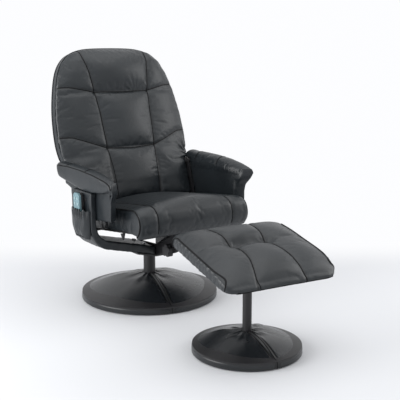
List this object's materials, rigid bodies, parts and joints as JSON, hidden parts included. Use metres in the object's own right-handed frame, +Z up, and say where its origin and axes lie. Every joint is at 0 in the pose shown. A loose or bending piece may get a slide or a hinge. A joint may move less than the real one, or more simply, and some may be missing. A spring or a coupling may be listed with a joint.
{
  "type": "massage recliner with footstool",
  "caption": "Reclining swivel armchair in dark hide with a massage handset in a side pocket, a round pedestal and a matching tilted footstool on its own pedestal.",
  "frame": {"origin": "centre of the chair's round base at floor level, on the swivel axis", "axes": "+Z up, -Y the way the chair faces, +X to the right as seen from in front of the chair; the footstool stands in front at -Y"},
  "size_m": [0.6931, 1.2809, 0.9897],
  "materials": {
    "hide": "fine-grain satin",
    "black_steel": "matt powder coat",
    "iron": "raw casting",
    "zinc": "zinc plate",
    "black_plastic": "moulded",
    "plywood": "raw plywood",
    "blue_plastic": "satin",
    "key_plastic": "satin"
  },
  "bodies": {
    "chair_base": {"chair_base_cover": "hide", "chair_base_dish": "black_steel", "chair_base_plate": "iron", "chair_post": "black_steel", "chair_post_bolts": "zinc", "chair_base_glides": "black_plastic", "chair_lower_bush": "black_plastic", "chair_upper_bush": "black_plastic", "chair_thrust_ring": "black_plastic"},
    "stool_base": {"stool_base_cover": "hide", "stool_base_dish": "black_steel", "stool_base_plate": "iron", "stool_post": "black_steel", "stool_post_bolts": "zinc", "stool_base_glides": "black_plastic", "stool_bush": "black_plastic"},
    "stool_top": {"stool_bracket": "black_steel", "stool_board": "plywood", "stool_screws": "zinc", "stool_cushion": "hide"},
    "carriage": {"swivel_spindle": "black_steel", "carrier_plate": "black_steel", "cradle_bolts": "zinc", "cradle_left": "hide", "cradle_right": "hide", "arm_bolts": "zinc", "arm_board_left": "hide", "arm_board_right": "hide", "arm_pad_left": "hide", "arm_pad_right": "hide", "back_pivot_bolts": "zinc", "slide_bracket_left": "black_steel", "slide_bracket_right": "black_steel", "remote_pocket": "hide"},
    "back": {"back_board": "plywood", "back_cushion": "hide", "back_motors": "black_plastic", "back_panel": "hide", "back_hinge_left": "black_steel", "back_hinge_right": "black_steel"},
    "seat": {"seat_board": "plywood", "seat_cushion": "hide", "seat_motors": "black_plastic", "clamp_hanger_left": "black_steel", "clamp_hanger_right": "black_steel", "clamp_rod": "zinc", "seat_stop_pegs": "black_plastic", "seat_lug_left": "black_steel", "seat_lug_right": "black_steel", "control_box": "black_plastic", "control_sockets": "black_plastic"},
    "lock_knob": {"lock_knob": "black_plastic"},
    "handset": {"handset_rear": "blue_plastic", "handset_front": "blue_plastic"},
    "key_power": {"key_power": "key_plastic"},
    "key_mode": {"key_mode": "key_plastic"},
    "key_strength": {"key_strength": "key_plastic"},
    "key_heat": {"key_heat": "key_plastic"}
  },
  "joints": [
    {"name": "chair_swivel", "type": "hinge", "parent": "chair_base", "child": "carriage", "pos_m": [0, 0, 0.2], "axis": [0, 0, 1], "continuous": true},
    {"name": "recline", "type": "hinge", "parent": "carriage", "child": "back", "pos_m": [0, 0.105, 0.52], "axis": [-1, 0, 0], "range_deg": [0, 28]},
    {"name": "seat_slide", "type": "slide", "parent": "carriage", "child": "seat", "axis": [0, -0.8599, 0.5105], "range_m": [0, 0.0885]},
    {"name": "lock_turn", "type": "hinge", "parent": "seat", "child": "lock_knob", "pos_m": [-0.0463, -0.225, 0.24], "axis": [-1, 0, 0], "range_deg": [0, 180]},
    {"name": "handset_lift", "type": "slide", "parent": "carriage", "child": "handset", "axis": [-0.0262, 0, 0.9997], "range_m": [0, 0.16]},
    {"name": "key_power_press", "type": "slide", "parent": "handset", "child": "key_power", "axis": [0.9997, 0, 0.0262], "range_m": [0, 0.0008], "stiffness_N_per_m": 1500},
    {"name": "key_mode_press", "type": "slide", "parent": "handset", "child": "key_mode", "axis": [0.9997, 0, 0.0262], "range_m": [0, 0.0008], "stiffness_N_per_m": 1500},
    {"name": "key_strength_press", "type": "slide", "parent": "handset", "child": "key_strength", "axis": [0.9997, 0, 0.0262], "range_m": [0, 0.0008], "stiffness_N_per_m": 1500},
    {"name": "key_heat_press", "type": "slide", "parent": "handset", "child": "key_heat", "axis": [0.9997, 0, 0.0262], "range_m": [0, 0.0008], "stiffness_N_per_m": 1500},
    {"name": "stool_pull", "type": "slide", "parent": "chair_base", "child": "stool_base", "axis": [0, -1, 0], "range_m": [0, 0.3]},
    {"name": "stool_swivel", "type": "hinge", "parent": "stool_base", "child": "stool_top", "pos_m": [-0.067, -0.716, 0.3], "axis": [0, 0, 1], "continuous": true}
  ],
  "couplings": [
    {"joint": "seat_slide", "follows": "recline", "m_per_rad": 0.18089}
  ]
}
